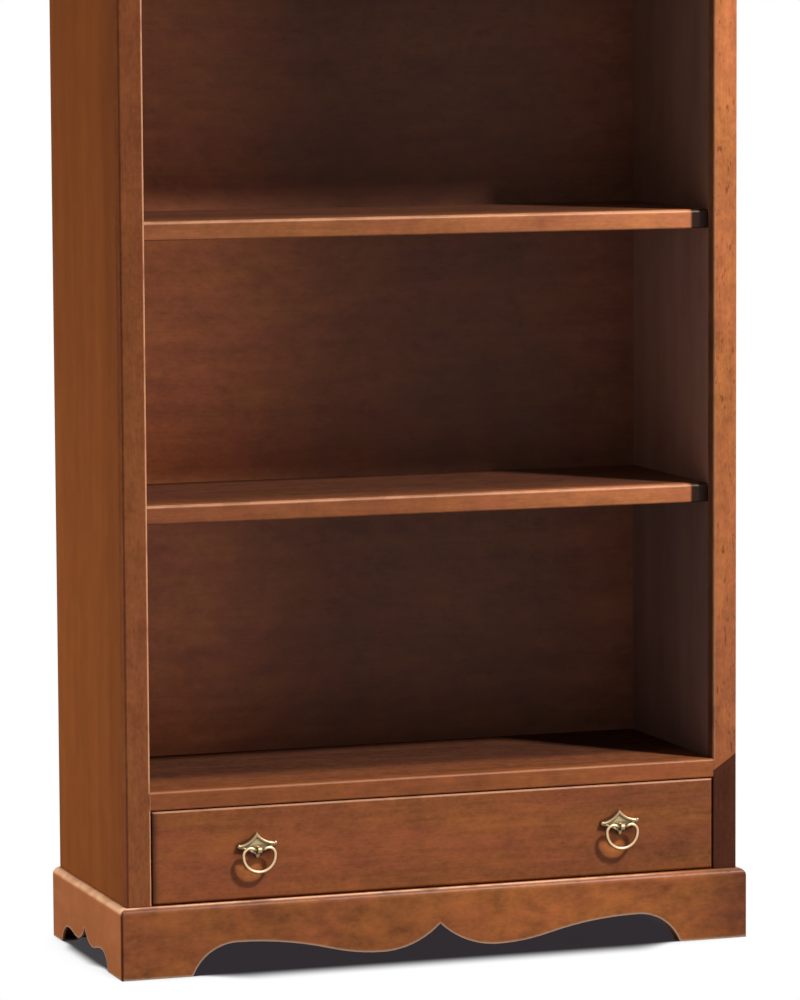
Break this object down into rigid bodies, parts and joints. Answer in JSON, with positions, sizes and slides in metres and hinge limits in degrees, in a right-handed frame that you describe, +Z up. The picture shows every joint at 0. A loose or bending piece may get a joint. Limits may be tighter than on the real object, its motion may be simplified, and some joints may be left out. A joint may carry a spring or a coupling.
{
  "type": "open bookcase with a base drawer",
  "caption": "Tall open bookcase with fixed shelves, one wide base drawer with brass ring pulls, a scalloped plinth and a moulded cornice.",
  "frame": {"origin": "on the floor, under the middle of the bounding box", "axes": "+X right along the front, -Y out of the front, +Z up"},
  "size_m": [0.95, 0.373, 1.85],
  "materials": {
    "carcass_wood": "satin walnut stain over a straight vertical grain",
    "shelf_wood": "satin walnut stain",
    "edge_wood": "satin walnut stain, worn lighter on its edges",
    "stile_wood": "satin walnut stain with short flecks",
    "dark_wood": "satin, a darker length of wood",
    "moulding_wood": "satin walnut stain, mottled",
    "back_wood": "satin walnut stain, grain across",
    "drawer_wood": "satin walnut stain, mottled, grain across",
    "pale_wood": "bare pale wood",
    "brass": "satin, lightly aged",
    "steel": "plated"
  },
  "bodies": {
    "carcass": {"left_side_panel": "carcass_wood", "right_side_panel": "carcass_wood", "top_panel": "carcass_wood", "floor_panel": "carcass_wood", "shelf_1": "shelf_wood", "shelf_2": "shelf_wood", "shelf_3": "shelf_wood", "shelf_1_edge": "edge_wood", "shelf_2_edge": "edge_wood", "shelf_3_edge": "edge_wood", "floor_rail": "edge_wood", "top_rail": "edge_wood", "left_stile": "stile_wood", "right_stile_upper": "stile_wood", "right_stile_lower": "dark_wood", "cornice_front": "moulding_wood", "cornice_left": "moulding_wood", "cornice_right": "moulding_wood", "plinth_front": "moulding_wood", "plinth_left": "moulding_wood", "plinth_right": "moulding_wood", "plinth_back": "moulding_wood", "back_panel": "back_wood", "left_drawer_runner": "pale_wood", "right_drawer_runner": "pale_wood", "left_kicker": "pale_wood", "right_kicker": "pale_wood", "drawer_stops": "pale_wood", "left_bearer": "pale_wood", "right_bearer": "pale_wood", "front_bearer": "pale_wood", "back_bearer": "pale_wood", "corner_blocks": "pale_wood", "runner_screws": "steel", "kicker_screws": "steel", "bearer_screws": "steel"},
    "drawer": {"drawer_front": "drawer_wood", "drawer_left_side": "pale_wood", "drawer_right_side": "pale_wood", "drawer_back": "pale_wood", "drawer_bottom": "pale_wood", "drawer_bottom_screws": "steel", "left_pull_plate": "brass", "right_pull_plate": "brass", "left_pull_bolt": "steel", "right_pull_bolt": "steel"},
    "left_ring": {"left_pull_ring": "brass"},
    "right_ring": {"right_pull_ring": "brass"}
  },
  "joints": [
    {"name": "drawer_slide", "type": "slide", "parent": "carcass", "child": "drawer", "axis": [0, -1, 0], "range_m": [0, 0.24]},
    {"name": "left_ring_pivot", "type": "hinge", "parent": "drawer", "child": "left_ring", "pos_m": [-0.264, -0.1745, 0.17], "axis": [-1, 0, 0], "range_deg": [-15, 100]},
    {"name": "right_ring_pivot", "type": "hinge", "parent": "drawer", "child": "right_ring", "pos_m": [0.2712, -0.1745, 0.17], "axis": [-1, 0, 0], "range_deg": [-15, 100]}
  ]
}
